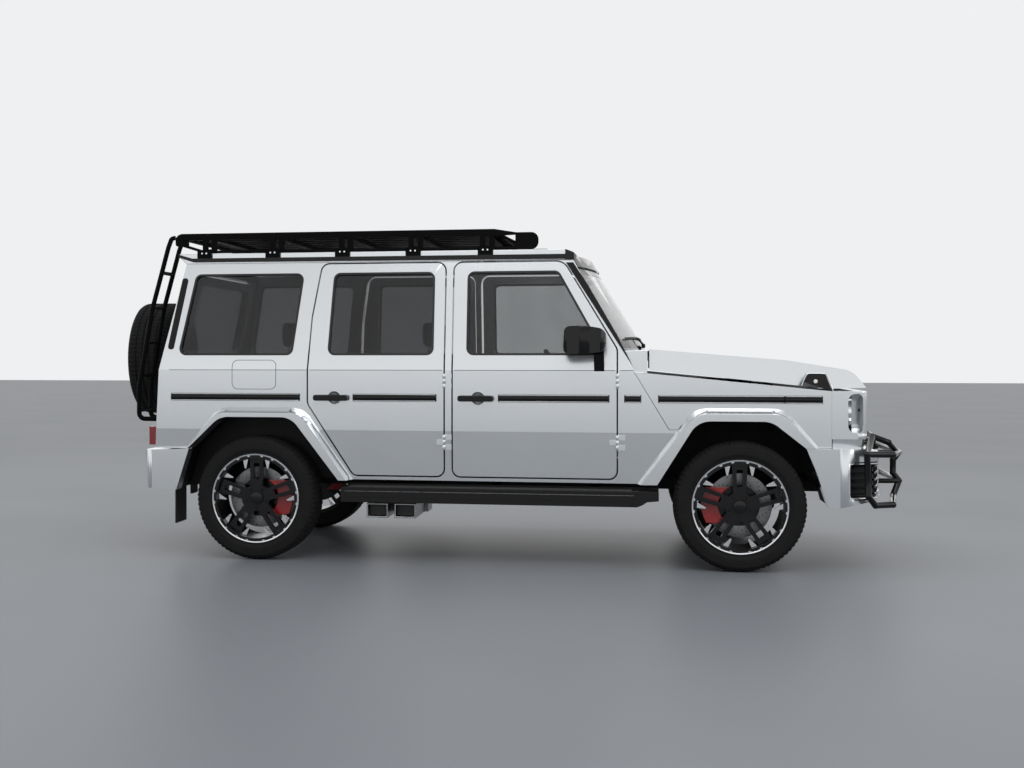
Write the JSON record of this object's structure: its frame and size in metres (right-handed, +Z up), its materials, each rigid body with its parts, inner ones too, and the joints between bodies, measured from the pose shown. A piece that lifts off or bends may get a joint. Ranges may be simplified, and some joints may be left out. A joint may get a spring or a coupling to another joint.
{
  "type": "lifted off-road 4x4 station wagon",
  "caption": "Boxy off-road 4x4 station wagon with opening doors, bonnet and tailgate, steered wheels, roof rack, rear ladder, spare wheel and bull bar.",
  "frame": {"origin": "on the ground, under the middle of the whole length and width", "axes": "+X forward, +Y to the vehicle's left, +Z up"},
  "size_m": [5.044, 2.1254, 2.03],
  "materials": {
    "paint": "silver blue metallic, clear coated",
    "gloss_black": "gloss",
    "black_trim": "satin",
    "rack_black": "powder coated black",
    "glass_clear": "lightly tinted",
    "glass_tinted": "dark tinted",
    "tyre": "matte",
    "wheel_black": "gloss black with bright ring",
    "frame_black": "satin black",
    "cast": "rough cast",
    "lamp_clear": "clear lens",
    "lamp_amber": "smoked amber lens",
    "lamp_red": "red lens",
    "caliper_red": "gloss red",
    "chrome": "polished",
    "seat": "black leather",
    "interior": "soft black"
  },
  "bodies": {
    "body": {"arch_liners": "black_trim", "body_side_left": "paint", "body_side_right": "paint", "bull_bar": "gloss_black", "chassis_frame": "frame_black", "dashboard": "interior", "engine_block": "cast", "exhaust": "chrome", "fixed_glass": "glass_tinted", "floor_pan": "frame_black", "front_bumper": "paint", "front_suspension": "frame_black", "front_wings": "paint", "grille": "gloss_black", "headlamps": "lamp_clear", "indicators": "lamp_amber", "nose_panel": "paint", "rear_axle": "frame_black", "rear_bumper": "paint", "rear_calipers": "caliper_red", "rear_panel": "paint", "roof_panel": "paint", "roof_rack": "rack_black", "roof_trim": "gloss_black", "running_boards": "black_trim", "seats": "seat", "tail_lamps": "lamp_red"},
    "door_front_right": {"door_front_right": "paint", "door_glass_front_right": "glass_clear", "mirror_right": "gloss_black"},
    "door_rear_right": {"door_rear_right": "paint", "door_glass_rear_right": "glass_tinted"},
    "knuckle_right": {"knuckle_right": "cast", "caliper_front_right": "caliper_red"},
    "wheel_front_right": {"tyre_front_right": "tyre", "wheel_front_right": "wheel_black"},
    "wheel_rear_right": {"tyre_rear_right": "tyre", "wheel_rear_right": "wheel_black"},
    "door_front_left": {"door_front_left": "paint", "door_glass_front_left": "glass_clear", "mirror_left": "gloss_black"},
    "door_rear_left": {"door_rear_left": "paint", "door_glass_rear_left": "glass_tinted"},
    "knuckle_left": {"knuckle_left": "cast", "caliper_front_left": "caliper_red"},
    "wheel_front_left": {"tyre_front_left": "tyre", "wheel_front_left": "wheel_black"},
    "wheel_rear_left": {"tyre_rear_left": "tyre", "wheel_rear_left": "wheel_black"},
    "bonnet": {"bonnet": "paint"},
    "tailgate": {"tailgate": "paint", "tailgate_glass": "glass_tinted", "ladder": "rack_black", "spare_tyre": "tyre", "spare_carrier": "gloss_black"}
  },
  "joints": [
    {"name": "steer_right", "type": "hinge", "parent": "body", "child": "knuckle_right", "pos_m": [1.535, -0.735, 0.378], "axis": [0, 0, 1], "range_deg": [-32, 32]},
    {"name": "spin_front_right", "type": "hinge", "parent": "knuckle_right", "child": "wheel_front_right", "pos_m": [1.535, -0.8175, 0.378], "axis": [0, 1, 0], "continuous": true},
    {"name": "spin_rear_right", "type": "hinge", "parent": "body", "child": "wheel_rear_right", "pos_m": [-1.355, -0.8175, 0.378], "axis": [0, 1, 0], "continuous": true},
    {"name": "open_door_front_right", "type": "hinge", "parent": "body", "child": "door_front_right", "pos_m": [0.8355, -0.895, 0.9], "axis": [0, 0, 1], "range_deg": [0, 70]},
    {"name": "open_door_rear_right", "type": "hinge", "parent": "body", "child": "door_rear_right", "pos_m": [-0.1945, -0.895, 0.9], "axis": [0, 0, 1], "range_deg": [0, 70]},
    {"name": "steer_left", "type": "hinge", "parent": "body", "child": "knuckle_left", "pos_m": [1.535, 0.735, 0.378], "axis": [0, 0, 1], "range_deg": [-32, 32]},
    {"name": "spin_front_left", "type": "hinge", "parent": "knuckle_left", "child": "wheel_front_left", "pos_m": [1.535, 0.8175, 0.378], "axis": [0, 1, 0], "continuous": true},
    {"name": "spin_rear_left", "type": "hinge", "parent": "body", "child": "wheel_rear_left", "pos_m": [-1.355, 0.8175, 0.378], "axis": [0, 1, 0], "continuous": true},
    {"name": "open_door_front_left", "type": "hinge", "parent": "body", "child": "door_front_left", "pos_m": [0.8355, 0.895, 0.9], "axis": [0, 0, -1], "range_deg": [0, 70]},
    {"name": "open_door_rear_left", "type": "hinge", "parent": "body", "child": "door_rear_left", "pos_m": [-0.1945, 0.895, 0.9], "axis": [0, 0, -1], "range_deg": [0, 70]},
    {"name": "open_bonnet", "type": "hinge", "parent": "body", "child": "bonnet", "pos_m": [1.021, 0, 1.276], "axis": [0, -1, 0], "range_deg": [0, 55]},
    {"name": "open_tailgate", "type": "hinge", "parent": "body", "child": "tailgate", "pos_m": [-2.032, -0.751, 1], "axis": [0, 0, 1], "range_deg": [0, 90]}
  ],
  "couplings": [
    {"joint": "steer_left", "follows": "steer_right", "ratio": 1}
  ]
}
